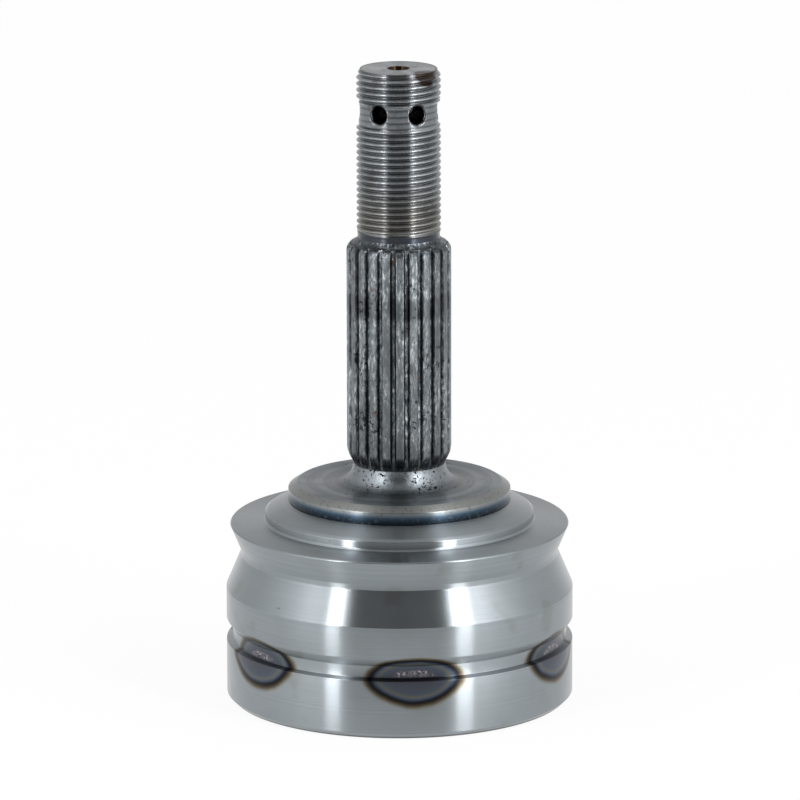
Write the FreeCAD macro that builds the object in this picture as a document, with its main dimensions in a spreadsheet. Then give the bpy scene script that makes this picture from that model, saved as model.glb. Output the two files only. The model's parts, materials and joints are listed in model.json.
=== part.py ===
import FreeCAD, Part
import math
import os
import Sketcher

# Outboard fixed-centre (Rzeppa) constant-velocity joint: a bell with a splined and threaded
# stub axle on its back, and inside it the inner race, the ball cage and six balls. The bell and
# the stub axle are one forging. It is divided here into four plain lengths that meet face to
# face: the bell, the flange with the seal journal, the splined length and the threaded end.
# Frame: the origin is the centre of the bell's mouth face and +Z runs along the axis towards
# the hub-nut thread. The first ball track faces -Y. Lengths are in millimetres.

SIZES = [
    # Bell, outside
    ("bell_diameter", 82.8, "turned boot land, both sides of the clamp groove"),
    ("mouth_chamfer", 1.3, "edge break round the mouth"),
    ("lower_land_height", 13.8, "mouth face to the lower edge of the boot groove"),
    ("groove_depth", 1.5, "boot groove, on the radius"),
    ("groove_lower_flank", 0.5, "axial length of the steep flank"),
    ("groove_floor", 3.1, "axial length of the flat groove floor"),
    ("groove_upper_flank", 2.1, "axial length of the gentle flank"),
    ("upper_land_height", 7.5, "boot groove to the start of the taper"),
    ("waist_drop", 3.5, "upper land to the waist, on the radius"),
    ("taper_height", 8.2, "upper land to the waist"),
    ("waist_height", 1.2, "flat of the waist"),
    ("flare_height", 5.9, "waist to the edge of the shoulder"),
    ("shoulder_drop", 1.0, "upper land to the edge of the shoulder, on the radius"),
    ("shoulder_break", 0.3, "broken edge of the shoulder"),
    ("brim_rise", 0.6, "slope of the shoulder's top over its width"),
    ("step_diameter", 64.0, "step on the back of the bell"),
    ("step_height", 2.7, "wall of the step"),
    ("step_fillet", 0.8, "hollow at the foot of the step"),
    ("cone_height", 2.1, "step edge to the foot of the seal journal"),
    ("journal_diameter", 53.0, "seal journal round the hub face"),
    ("journal_height", 3.0, "seal journal"),
    ("journal_chamfer_height", 1.3, "lead-in of the journal"),
    ("journal_chamfer_width", 2.1, "lead-in of the journal, on the radius"),
    # Joint geometry
    ("joint_centre_height", 18.0, "mouth face to the centre about which the joint bends"),
    ("track_offset", 3.5, "track centres, either side of the joint centre"),
    ("ball_diameter", 15.875, "bearing ball, 5/8 inch"),
    ("ball_inset", 13.9, "bell's outside to the balls' centres, joint straight"),
    ("ball_count", 6, "balls, tracks and cage windows"),
    ("outer_track_clearance", 0.06, "ball in the bell's track"),
    ("inner_track_clearance", 0.15, "ball in the inner race's track"),
    ("track_end_angle", 50, "closed end of the bell's track, above the track centre"),
    ("track_mouth_angle", 40, "open end of the bell's track, below the track centre"),
    ("inner_track_sweep", 120, "sweep of the inner race's track"),
    # Cage and inner race
    ("inner_race_inset", 1.9, "balls' centres to the inner race's ground sphere"),
    ("race_core_wall", 1.95, "pilot bore to a track, at the inner race's open face"),
    ("inner_race_chamfer", 0.8, "edge break of the inner race"),
    ("cage_clearance", 0.3, "cage to either sphere"),
    ("cage_wall", 4.3, "cage, sphere to sphere"),
    ("cage_width", 27.0, "face to face"),
    ("window_clearance", 0.32, "ball to the window's flat sides"),
    ("window_length", 20.0, "window round the cage"),
    ("window_corner", 3.0, "corner radius of a window"),
    # Bell, inside
    ("floor_rise", 25.5, "joint centre to the floor of the cavity"),
    ("mouth_bore_height", 8.0, "depth of the flared mouth"),
    ("mouth_wall", 5.4, "bell's outside to the flared mouth, at the mouth face"),
    # Drive-shaft socket and its circlip
    ("socket_tooth_count", 22, "internal spline of the inner race"),
    ("socket_minor_diameter", 17.8, "tips of the internal teeth"),
    ("socket_major_diameter", 19.6, "roots of the internal teeth"),
    ("socket_gap_width", 1.3, "gap between two internal teeth"),
    ("pilot_diameter", 20.2, "plain bore before the teeth"),
    ("pilot_depth", 2.5, "plain bore before the teeth"),
    ("circlip_wire", 1.6, "round wire of the circlip"),
    ("circlip_clearance", 0.1, "circlip in its groove"),
    ("circlip_groove_diameter", 21.8, "circlip groove in the inner race"),
    ("circlip_inset", 2.4, "inner race's back face to the middle of the circlip"),
    ("circlip_gap_angle", 36, "opening of the circlip"),
    # Stub axle
    ("neck_diameter", 22.0, "neck between the hub face and the spline"),
    ("neck_fillet", 4.8, "hollow between the hub face and the neck"),
    ("neck_height", 0.5, "straight of the neck above its fillet"),
    ("spline_diameter", 24.8, "tips of the hub spline"),
    ("spline_root_diameter", 22.4, "roots of the hub spline"),
    ("spline_tooth_count", 23, "teeth of the hub spline"),
    ("spline_gap_width", 1.5, "gap between two teeth at their tips"),
    ("spline_root_width", 0.8, "gap between two teeth at their roots"),
    ("spline_phase", 3.9, "turn of the first gap past the first ball track"),
    ("spline_run_in", 2.9, "axial length of the spline's lower chamfer"),
    ("spline_height", 48.3, "full teeth"),
    ("spline_shoulder", 2.2, "radius of the shoulder above the teeth"),
    ("collar_diameter", 21.4, "top of the rounded shoulder"),
    ("collar_height", 1.1, "cone between the shoulder and the undercut"),
    ("undercut_diameter", 19.5, "relief below the thread"),
    ("undercut_height", 1.2, "relief below the thread"),
    ("thread_diameter", 20.0, "M20 x 1.5 hub-nut thread, major diameter"),
    ("thread_run_in", 0.5, "chamfer at the start of the thread"),
    ("thread_height", 25.4, "thread below the relief band"),
    ("band_diameter", 18.8, "relief band at the cotter-pin holes"),
    ("band_height", 5.5, "relief band"),
    ("tip_thread_height", 6.2, "thread above the relief band"),
    ("tip_chamfer_height", 1.5, "end chamfer"),
    ("tip_diameter", 18.2, "end face"),
    ("cotter_diameter", 4.0, "cotter-pin hole"),
    ("cotter_mouth_diameter", 5.4, "countersink of a cotter-pin hole at the band"),
    ("cotter_mouth_depth", 0.7, "countersink of a cotter-pin hole, below the band"),
    ("cotter_rise", 3.4, "bottom of the relief band to the cotter-pin holes"),
    ("cotter_hole_count", 3, "cotter-pin holes, each right through"),
    ("cotter_turn", 24, "first cotter-pin hole, turned from -Y towards +X"),
    ("centre_hole_diameter", 5.3, "mouth of the centre drilling"),
    ("centre_hole_cone", 2.9, "depth of the centre drilling's 60 degree cone"),
    ("centre_pilot_diameter", 2.0, "pilot of the centre drilling"),
    ("centre_pilot_depth", 2.0, "pilot of the centre drilling"),
]

doc = FreeCAD.newDocument("cv_joint")
sheet = doc.addObject("Spreadsheet::Sheet", "Dims")
for line, (alias, number, note) in enumerate(SIZES, start=1):
    sheet.set("A%d" % line, alias)
    sheet.set("B%d" % line, str(number))
    sheet.set("C%d" % line, note)
    sheet.setAlias("B%d" % line, alias)
doc.recompute()


class Size:
    """A number together with the spreadsheet formula that gives it."""

    def __init__(self, value, formula):
        self.value = float(value)
        self.formula = formula

    def __add__(self, other):
        other = as_size(other)
        return Size(self.value + other.value, "(%s + %s)" % (self.formula, other.formula))

    def __sub__(self, other):
        other = as_size(other)
        return Size(self.value - other.value, "(%s - %s)" % (self.formula, other.formula))

    def __mul__(self, other):
        other = as_size(other)
        return Size(self.value * other.value, "(%s * %s)" % (self.formula, other.formula))

    def __truediv__(self, other):
        other = as_size(other)
        return Size(self.value / other.value, "(%s / %s)" % (self.formula, other.formula))

    def root(self):
        return Size(math.sqrt(self.value), "sqrt(%s)" % self.formula)


def as_size(number):
    if isinstance(number, Size):
        return number
    return Size(number, repr(number))


def dim(alias):
    return Size(getattr(sheet, alias), "Dims.%s" % alias)


def across(radius, height):
    """Distance from the axis of a sphere's surface, at a height above its centre."""
    return (radius * radius - height * height).root()


def cosine(angle):
    return Size(math.cos(math.radians(angle.value)), "cos(%s)" % angle.formula)


def sine(angle):
    return Size(math.sin(math.radians(angle.value)), "sin(%s)" % angle.formula)


ZERO = Size(0, "0")


def new_body(name):
    body = doc.addObject("PartDesign::Body", name)
    body.Label = name
    return body


def origin_feature(body, role):
    return next(item for item in body.Origin.OriginFeatures if item.Role == role)


def new_sketch(body, name, plane, lift=None, turn=None):
    """A sketch on an origin plane of the body, moved along its normal and turned in the plane."""
    sketch = body.newObject("Sketcher::SketchObject", name)
    sketch.AttachmentSupport = [(origin_feature(body, plane), "")]
    sketch.MapMode = "FlatFace"
    if lift is not None:
        sketch.setExpression("AttachmentOffset.Base.z", lift.formula)
    if turn is not None:
        spin = FreeCAD.Rotation(FreeCAD.Vector(0, 0, 1), turn.value)
        sketch.AttachmentOffset = FreeCAD.Placement(FreeCAD.Vector(0, 0, 0), spin)
        sketch.setExpression("AttachmentOffset.Rotation.Angle", turn.formula)
    return sketch


def hold(sketch, kind, geometry, end, distance):
    """Ties one end of an edge to a distance from the sketch's origin, along X or Y."""
    if abs(distance.value) < 1e-9:
        axis = -2 if kind == "DistanceX" else -1
        sketch.addConstraint(Sketcher.Constraint("PointOnObject", geometry, end, axis))
        return
    rule = Sketcher.Constraint(kind, -1, 1, geometry, end, distance.value)
    index = sketch.addConstraint(rule)
    sketch.setExpression("Constraints[%d]" % index, distance.formula)


def arc_between(start, finish, radius, side):
    """A circular edge; side is +1 where its centre lies left of the way from start to finish."""
    middle = (start + finish) * 0.5
    chord = finish - start
    reach = math.sqrt(radius * radius - chord.Length * chord.Length / 4)
    left = FreeCAD.Vector(-chord.y, chord.x, 0).normalize()
    centre = middle + left * (side * reach)
    circle = Part.Circle(centre, FreeCAD.Vector(0, 0, 1), radius)
    first, last = (start, finish) if side > 0 else (finish, start)
    begin = math.atan2(first.y - centre.y, first.x - centre.x)
    end = math.atan2(last.y - centre.y, last.x - centre.x)
    return Part.ArcOfCircle(circle, begin, end)


def draw_outline(sketch, corners):
    """A closed outline. A corner is (x, y), or (x, y, radius, side) where an arc leaves it."""
    points = [FreeCAD.Vector(corner[0].value, corner[1].value, 0) for corner in corners]
    for index, corner in enumerate(corners):
        start = points[index]
        finish = points[(index + 1) % len(points)]
        if len(corner) == 4:
            edge = arc_between(start, finish, corner[2].value, corner[3])
        else:
            edge = Part.LineSegment(start, finish)
        sketch.addGeometry(edge, False)
    for index, corner in enumerate(corners):
        following = (index + 1) % len(corners)
        is_reversed = len(corner) == 4 and corner[3] < 0
        leaving_end = 1 if is_reversed else 2
        following_corner = corners[following]
        is_next_reversed = len(following_corner) == 4 and following_corner[3] < 0
        entering_end = 2 if is_next_reversed else 1
        join = Sketcher.Constraint("Coincident", index, leaving_end, following, entering_end)
        sketch.addConstraint(join)
    for index, corner in enumerate(corners):
        is_reversed = len(corner) == 4 and corner[3] < 0
        own_end = 2 if is_reversed else 1
        hold(sketch, "DistanceX", index, own_end, corner[0])
        hold(sketch, "DistanceY", index, own_end, corner[1])
        if len(corner) == 4:
            rule = sketch.addConstraint(Sketcher.Constraint("Radius", index, corner[2].value))
            sketch.setExpression("Constraints[%d]" % rule, corner[2].formula)
    return sketch


def draw_circle(sketch, x, y, radius):
    centre = FreeCAD.Vector(x.value, y.value, 0)
    circle = Part.Circle(centre, FreeCAD.Vector(0, 0, 1), radius.value)
    sketch.addGeometry(circle, False)
    hold(sketch, "DistanceX", 0, 3, x)
    hold(sketch, "DistanceY", 0, 3, y)
    rule = sketch.addConstraint(Sketcher.Constraint("Radius", 0, radius.value))
    sketch.setExpression("Constraints[%d]" % rule, radius.formula)
    return sketch


def volume_of(body):
    doc.recompute()
    return body.Shape.Volume


def check_cut(body, name, before):
    """A cut that misses the solid raises no error, so the volumes are compared."""
    after = volume_of(body)
    if after > before - 1e-3:
        raise RuntimeError("%s cut nothing" % name)


def turn_profile(body, name, corners):
    """A solid of revolution about Z, from a half section in the XZ plane."""
    sketch = draw_outline(new_sketch(body, name + "_profile", "XZ_Plane"), corners)
    solid = body.newObject("PartDesign::Revolution", name)
    solid.Profile = sketch
    solid.ReferenceAxis = (sketch, ["V_Axis"])
    solid.Angle = 360
    doc.recompute()
    return solid


def repeat_round_axis(body, name, feature, count, right_through=False):
    """Copies of a cut spaced evenly round Z; cuts that go right through need half a turn."""
    pattern = body.newObject("PartDesign::PolarPattern", name)
    pattern.Originals = [feature]
    pattern.Axis = (origin_feature(body, "Z_Axis"), [""])
    pattern.Angle = 360
    pattern.setExpression("Occurrences", count.formula)
    if right_through:
        last_turn = Size(180, "180") * (count - 1) / count
        pattern.setExpression("Angle", last_turn.formula)
    body.Tip = pattern
    doc.recompute()
    return pattern


def cut_tracks(body, name, centre_height, clearance, up_angle, down_angle):
    """Ball tracks: a round section swept about the track centre, repeated round the axis."""
    sketch = new_sketch(body, name + "_section", "XY_Plane", lift=centre_height)
    draw_circle(sketch, ZERO, ZERO - track_radius, ball_radius + clearance)
    before = volume_of(body)
    groove = body.newObject("PartDesign::Groove", name)
    groove.Profile = sketch
    groove.ReferenceAxis = (sketch, ["H_Axis"])
    groove.Type = "TwoAngles"
    groove.setExpression("Angle", down_angle.formula)
    groove.setExpression("Angle2", up_angle.formula)
    check_cut(body, name, before)
    repeat_round_axis(body, name + "_pattern", groove, dim("ball_count"))


# Sizes that several pieces share
ball_radius = dim("ball_diameter") / 2
joint_centre = dim("joint_centre_height")
outer_track_centre = joint_centre - dim("track_offset")
inner_track_centre = joint_centre + dim("track_offset")
bell_radius = dim("bell_diameter") / 2
ball_pitch_radius = bell_radius - dim("ball_inset")
pitch_squared = ball_pitch_radius * ball_pitch_radius
track_radius = (pitch_squared + dim("track_offset") * dim("track_offset")).root()
inner_race_radius = ball_pitch_radius - dim("inner_race_inset")
cage_inner_radius = inner_race_radius + dim("cage_clearance")
cage_outer_radius = cage_inner_radius + dim("cage_wall")
land_radius = cage_outer_radius + dim("cage_clearance")
floor_height = joint_centre + dim("floor_rise")
core_radius = dim("pilot_diameter") / 2 + dim("race_core_wall")
race_track_inside = track_radius - ball_radius - dim("inner_track_clearance")
race_bottom = inner_track_centre - across(race_track_inside, core_radius)
race_half_width = joint_centre - race_bottom
race_top = joint_centre + race_half_width
circlip_height = race_top - dim("circlip_inset")

journal_radius = dim("journal_diameter") / 2
groove_bottom = dim("lower_land_height") + dim("groove_lower_flank")
groove_top = groove_bottom + dim("groove_floor")
upper_land_bottom = groove_top + dim("groove_upper_flank")
taper_bottom = upper_land_bottom + dim("upper_land_height")
waist_bottom = taper_bottom + dim("taper_height")
waist_top = waist_bottom + dim("waist_height")
shoulder_height = waist_top + dim("flare_height")
brim_top = shoulder_height + dim("shoulder_break") + dim("brim_rise")
step_top = brim_top + dim("step_height")
journal_bottom = step_top + dim("cone_height")
journal_top = journal_bottom + dim("journal_height")
hub_face_height = journal_top + dim("journal_chamfer_height")

neck_radius = dim("neck_diameter") / 2
neck_fillet = dim("neck_fillet")
neck_bottom = hub_face_height + neck_fillet
spline_bottom = neck_bottom + dim("neck_height")
full_teeth = spline_bottom + dim("spline_run_in")
teeth_top = full_teeth + dim("spline_height")
collar_drop = dim("spline_diameter") / 2 - dim("collar_diameter") / 2
collar_rise = across(dim("spline_shoulder"), dim("spline_shoulder") - collar_drop)
collar_bottom = teeth_top + collar_rise
undercut_radius = dim("undercut_diameter") / 2
undercut_bottom = collar_bottom + dim("collar_height")


def make_bell():
    """The cup of the outer race, up to the foot of the seal journal, with its ball tracks."""
    body = new_body("bell_housing")
    waist_radius = bell_radius - dim("waist_drop")
    shoulder_radius = bell_radius - dim("shoulder_drop")
    step_radius = dim("step_diameter") / 2
    step_fillet = dim("step_fillet")
    floor_radius = across(land_radius, dim("floor_rise"))
    mouth_land_radius = across(land_radius, joint_centre - dim("mouth_bore_height"))
    outside = [
        (bell_radius - dim("mouth_chamfer"), ZERO),
        (bell_radius, dim("mouth_chamfer")),
        (bell_radius, dim("lower_land_height")),
        (bell_radius - dim("groove_depth"), groove_bottom),
        (bell_radius - dim("groove_depth"), groove_top),
        (bell_radius, upper_land_bottom),
        (bell_radius, taper_bottom),
        (waist_radius, waist_bottom),
        (waist_radius, waist_top),
        (shoulder_radius, shoulder_height),
        (shoulder_radius - dim("shoulder_break"), shoulder_height + dim("shoulder_break")),
        (step_radius + step_fillet, brim_top, step_fillet, -1),
        (step_radius, brim_top + step_fillet),
        (step_radius, step_top - step_fillet, step_fillet, 1),
        (step_radius - step_fillet, step_top),
        (journal_radius, journal_bottom),
        (ZERO, journal_bottom),
    ]
    inside = [
        (ZERO, floor_height),
        (floor_radius, floor_height, land_radius, -1),
        (mouth_land_radius, dim("mouth_bore_height")),
        (bell_radius - dim("mouth_wall"), ZERO),
    ]
    turn_profile(body, "bell_turning", outside + inside)
    cut_tracks(
        body,
        "bell_track",
        outer_track_centre,
        dim("outer_track_clearance"),
        dim("track_end_angle"),
        dim("track_mouth_angle"),
    )
    return body


def make_inner_race():
    """The inner race: a ground sphere with six tracks and a splined bore for the shaft."""
    body = new_body("inner_race")
    face_radius = across(inner_race_radius, race_half_width)
    chamfer = dim("inner_race_chamfer")
    edge_rise = across(inner_race_radius, face_radius - chamfer) - race_half_width
    edge_radius = across(inner_race_radius, race_half_width - edge_rise)
    bore_radius = dim("socket_minor_diameter") / 2
    clip_half = dim("circlip_wire") / 2 + dim("circlip_clearance")
    clip_groove_radius = dim("circlip_groove_diameter") / 2
    section = [
        (dim("pilot_diameter") / 2, race_bottom),
        (face_radius - chamfer, race_bottom),
        (edge_radius, race_bottom + edge_rise, inner_race_radius, 1),
        (edge_radius, race_top - edge_rise),
        (face_radius - chamfer, race_top),
        (bore_radius, race_top),
        (bore_radius, circlip_height + clip_half),
        (clip_groove_radius, circlip_height + clip_half),
        (clip_groove_radius, circlip_height - clip_half),
        (bore_radius, circlip_height - clip_half),
        (bore_radius, race_bottom + dim("pilot_depth")),
        (dim("pilot_diameter") / 2, race_bottom + dim("pilot_depth")),
    ]
    turn_profile(body, "race_turning", section)
    half_sweep = dim("inner_track_sweep") / 2
    cut_tracks(
        body,
        "race_track",
        inner_track_centre,
        dim("inner_track_clearance"),
        half_sweep,
        half_sweep,
    )
    gap_half = dim("socket_gap_width") / 2
    gap_inner = bore_radius - gap_half
    gap_outer = dim("socket_major_diameter") / 2
    sketch = new_sketch(body, "socket_gap", "XY_Plane", lift=race_bottom)
    corners = [
        (ZERO - gap_half, gap_inner),
        (gap_half, gap_inner),
        (gap_half, gap_outer),
        (ZERO - gap_half, gap_outer),
    ]
    draw_outline(sketch, corners)
    before = volume_of(body)
    pocket = body.newObject("PartDesign::Pocket", "socket_gap_cut")
    pocket.Profile = sketch
    pocket.Reversed = True
    pocket.Type = "Length"
    pocket.setExpression("Length", (race_top - race_bottom + 1).formula)
    check_cut(body, "socket_gap_cut", before)
    repeat_round_axis(body, "socket_teeth", pocket, dim("socket_tooth_count"))
    return body


def make_cage():
    """The ball cage: a ring between two spheres, with a window for each ball."""
    body = new_body("ball_cage")
    half_width = dim("cage_width") / 2
    bottom = joint_centre - half_width
    top = joint_centre + half_width
    inner_edge = across(cage_inner_radius, half_width)
    outer_edge = across(cage_outer_radius, half_width)
    section = [
        (inner_edge, bottom),
        (outer_edge, bottom, cage_outer_radius, 1),
        (outer_edge, top),
        (inner_edge, top, cage_inner_radius, -1),
    ]
    turn_profile(body, "cage_turning", section)
    half_length = dim("window_length") / 2
    half_height = ball_radius + dim("window_clearance")
    corner = dim("window_corner")
    left = ZERO - half_length
    low = joint_centre - half_height
    high = joint_centre + half_height
    window = [
        (left + corner, low),
        (half_length - corner, low, corner, 1),
        (half_length, low + corner),
        (half_length, high - corner, corner, 1),
        (half_length - corner, high),
        (left + corner, high, corner, 1),
        (left, high - corner),
        (left, low + corner, corner, 1),
    ]
    sketch = draw_outline(new_sketch(body, "window_outline", "XZ_Plane"), window)
    before = volume_of(body)
    pocket = body.newObject("PartDesign::Pocket", "window_cut")
    pocket.Profile = sketch
    pocket.Reversed = True
    pocket.Type = "ThroughAll"
    check_cut(body, "window_cut", before)
    repeat_round_axis(body, "window_pattern", pocket, dim("ball_count"))
    return body


def make_ball(number):
    """One bearing ball, in the track that faces its own way round the axis."""
    ball = doc.addObject("Part::Sphere", "ball_%d" % number)
    ball.Label = "ball_%d" % number
    ball.setExpression("Radius", ball_radius.formula)
    turn = Size(360, "360") * (number - 1) / dim("ball_count")
    across_x = ball_pitch_radius * sine(turn)
    across_y = ZERO - ball_pitch_radius * cosine(turn)
    ball.setExpression("Placement.Base.x", across_x.formula)
    ball.setExpression("Placement.Base.y", across_y.formula)
    ball.setExpression("Placement.Base.z", joint_centre.formula)
    return ball


def make_circlip():
    """The round-wire circlip that holds the drive shaft in the inner race."""
    body = new_body("retaining_circlip")
    wire_radius = dim("circlip_wire") / 2
    ring_radius = dim("circlip_groove_diameter") / 2 - dim("circlip_clearance") - wire_radius
    sketch = new_sketch(body, "circlip_section", "XZ_Plane")
    draw_circle(sketch, ring_radius, circlip_height, wire_radius)
    ring = body.newObject("PartDesign::Revolution", "circlip_ring")
    ring.Profile = sketch
    ring.ReferenceAxis = (sketch, ["V_Axis"])
    ring.setExpression("Angle", "360 - Dims.circlip_gap_angle")
    doc.recompute()
    return body


def make_axle_flange():
    """The root of the stub axle: seal journal, hub face and the hollow up to the neck."""
    body = new_body("stub_axle_flange")
    section = [
        (ZERO, journal_bottom),
        (journal_radius, journal_bottom),
        (journal_radius, journal_top),
        (journal_radius - dim("journal_chamfer_width"), hub_face_height),
        (neck_radius + neck_fillet, hub_face_height, neck_fillet, -1),
        (neck_radius, neck_bottom),
        (ZERO, neck_bottom),
    ]
    turn_profile(body, "flange_turning", section)
    return body


def make_axle_spline():
    """The middle of the stub axle: neck, hub spline and the rounded shoulder above it."""
    body = new_body("stub_axle_spline")
    spline_radius = dim("spline_diameter") / 2
    section = [
        (ZERO, neck_bottom),
        (neck_radius, neck_bottom),
        (neck_radius, spline_bottom),
        (spline_radius, full_teeth),
        (spline_radius, teeth_top, dim("spline_shoulder"), 1),
        (spline_radius - collar_drop, collar_bottom),
        (undercut_radius, undercut_bottom),
        (ZERO, undercut_bottom),
    ]
    turn_profile(body, "spline_turning", section)
    cut_spline(body, spline_bottom, undercut_bottom, spline_radius)
    return body


def make_axle_thread():
    """The end of the stub axle: undercut, hub-nut thread and cotter-pin holes."""
    body = new_body("stub_axle_thread")
    thread_radius = dim("thread_diameter") / 2
    band_radius = dim("band_diameter") / 2
    undercut_top = undercut_bottom + dim("undercut_height")
    thread_bottom = undercut_top + dim("thread_run_in")
    band_bottom = thread_bottom + dim("thread_height")
    band_top = band_bottom + dim("band_height")
    thread_top = band_top + dim("tip_thread_height")
    axle_top = thread_top + dim("tip_chamfer_height")
    cone_bottom = axle_top - dim("centre_hole_cone")
    pilot_radius = dim("centre_pilot_diameter") / 2
    section = [
        (ZERO, undercut_bottom),
        (undercut_radius, undercut_bottom),
        (undercut_radius, undercut_top),
        (thread_radius, thread_bottom),
        (thread_radius, band_bottom),
        (band_radius, band_bottom),
        (band_radius, band_top),
        (thread_radius, band_top),
        (thread_radius, thread_top),
        (dim("tip_diameter") / 2, axle_top),
        (dim("centre_hole_diameter") / 2, axle_top),
        (pilot_radius, cone_bottom),
        (pilot_radius, cone_bottom - dim("centre_pilot_depth")),
        (ZERO, cone_bottom - dim("centre_pilot_depth")),
    ]
    turn_profile(body, "thread_turning", section)
    cut_cotter_holes(body, band_bottom + dim("cotter_rise"), band_radius, thread_radius)
    return body


def cut_spline(body, bottom, top, tip_radius):
    """Tooth gaps of the hub spline, wider at the tips than at the roots."""
    flare = (dim("spline_gap_width") - dim("spline_root_width")) / 2
    depth = tip_radius - dim("spline_root_diameter") / 2
    outer_half = dim("spline_gap_width") / 2 + flare
    sketch = new_sketch(body, "spline_gap", "XY_Plane", lift=bottom, turn=dim("spline_phase"))
    corners = [
        (ZERO - outer_half, ZERO - tip_radius - depth),
        (outer_half, ZERO - tip_radius - depth),
        (dim("spline_root_width") / 2, ZERO - dim("spline_root_diameter") / 2),
        (ZERO - dim("spline_root_width") / 2, ZERO - dim("spline_root_diameter") / 2),
    ]
    draw_outline(sketch, corners)
    before = volume_of(body)
    pocket = body.newObject("PartDesign::Pocket", "spline_gap_cut")
    pocket.Profile = sketch
    pocket.Reversed = True
    pocket.Type = "Length"
    pocket.setExpression("Length", (top - bottom).formula)
    check_cut(body, "spline_gap_cut", before)
    repeat_round_axis(body, "spline_teeth", pocket, dim("spline_tooth_count"))


def cut_cotter_holes(body, height, band_radius, reach):
    """Cotter-pin holes right through the thread, countersunk at both ends."""
    hole_radius = dim("cotter_diameter") / 2
    mouth_radius = dim("cotter_mouth_diameter") / 2
    sink_bottom = band_radius - dim("cotter_mouth_depth")
    slope = (mouth_radius - hole_radius) / dim("cotter_mouth_depth")
    outer = reach + dim("cotter_mouth_depth")
    outer_radius = hole_radius + slope * (outer - sink_bottom)
    sketch = new_sketch(
        body, "cotter_hole_section", "XY_Plane", lift=height, turn=dim("cotter_turn")
    )
    corners = [
        (ZERO, ZERO - outer),
        (outer_radius, ZERO - outer),
        (hole_radius, ZERO - sink_bottom),
        (hole_radius, sink_bottom),
        (outer_radius, outer),
        (ZERO, outer),
    ]
    draw_outline(sketch, corners)
    before = volume_of(body)
    hole = body.newObject("PartDesign::Groove", "cotter_hole")
    hole.Profile = sketch
    hole.ReferenceAxis = (sketch, ["V_Axis"])
    hole.Angle = 360
    check_cut(body, "cotter_hole", before)
    repeat_round_axis(body, "cotter_holes", hole, dim("cotter_hole_count"), right_through=True)


pieces = [make_bell(), make_axle_flange(), make_axle_spline(), make_axle_thread()]
pieces += [make_inner_race(), make_cage(), make_circlip()]
pieces += [make_ball(number) for number in range(1, int(dim("ball_count").value) + 1)]
doc.recompute()

for item in doc.Objects:
    if "Invalid" in item.State or "Error" in item.State:
        raise RuntimeError("%s failed: %s" % (item.Name, item.State))
for piece in pieces:
    if piece.Shape.isNull() or not piece.Shape.isValid():
        raise RuntimeError("%s has no valid shape" % piece.Label)
    if len(piece.Shape.Solids) != 1:
        raise RuntimeError("%s is not one solid" % piece.Label)

os.makedirs("parts", exist_ok=True)
for piece in pieces:
    piece.Shape.exportStep("parts/%s.step" % piece.Label)
    box = piece.Shape.BoundBox
    print(
        "%s: %.2f x %.2f x %.2f mm, z %.2f to %.2f, volume %.1f"
        % (piece.Label, box.XLength, box.YLength, box.ZLength, box.ZMin, box.ZMax, piece.Shape.Volume)
    )
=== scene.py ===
# %% [markdown]
# # A ball-type constant-velocity joint, dressed for a studio picture
# The joint is a steel bell with a splined and threaded stub axle on its back. Its solids were
# drawn in CAD; this file gives them smooth turned surfaces, a real thread, hobbed spline teeth
# and steel that looks turned, hardened, tinted by heat or ground. Every cell makes one piece or
# one finish. The origin is the centre of the bell's mouth, +Z runs up the axis, metres throughout.

# %% Load the frame
import json
import math

import bmesh
import bpy
from mathutils import Matrix, Vector


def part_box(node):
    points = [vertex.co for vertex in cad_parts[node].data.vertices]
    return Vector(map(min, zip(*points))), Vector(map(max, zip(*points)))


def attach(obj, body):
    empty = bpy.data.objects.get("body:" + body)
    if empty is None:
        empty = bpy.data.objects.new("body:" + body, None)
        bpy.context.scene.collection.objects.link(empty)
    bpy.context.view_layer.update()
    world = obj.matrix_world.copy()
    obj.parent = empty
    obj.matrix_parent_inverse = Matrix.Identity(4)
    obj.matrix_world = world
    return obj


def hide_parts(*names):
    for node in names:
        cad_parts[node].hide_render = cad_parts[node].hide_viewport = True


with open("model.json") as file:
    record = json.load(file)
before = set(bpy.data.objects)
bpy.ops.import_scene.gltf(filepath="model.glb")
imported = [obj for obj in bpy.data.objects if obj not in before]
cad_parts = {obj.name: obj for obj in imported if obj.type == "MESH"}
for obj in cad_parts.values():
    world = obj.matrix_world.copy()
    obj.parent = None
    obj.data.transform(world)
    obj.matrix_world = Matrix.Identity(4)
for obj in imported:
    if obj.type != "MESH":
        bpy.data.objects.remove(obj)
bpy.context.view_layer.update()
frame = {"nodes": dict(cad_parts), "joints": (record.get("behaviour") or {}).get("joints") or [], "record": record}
mounts = {mount["name"]: mount for mount in frame["record"]["mounts"]}
print("nodes:", ", ".join(sorted(frame["nodes"])))

# %% [markdown]
# Machinists think in millimetres and Blender in metres, so outlines are written in millimetres
# and turned to metres when a vertex is made. The frame gives the main sizes: the bell's radius
# and height, the axle's lengths and the mounts' radii.

# %% Sizes from the frame, in millimetres
MM = 0.001


def node_heights(name):
    """Lowest and highest z of a CAD node, in millimetres."""
    low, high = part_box(name)
    return low.z / MM, high.z / MM


def mount_radius(name):
    """Radius of a round mount, in millimetres."""
    return mounts[name]["dims"]["r_mm"]


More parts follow.
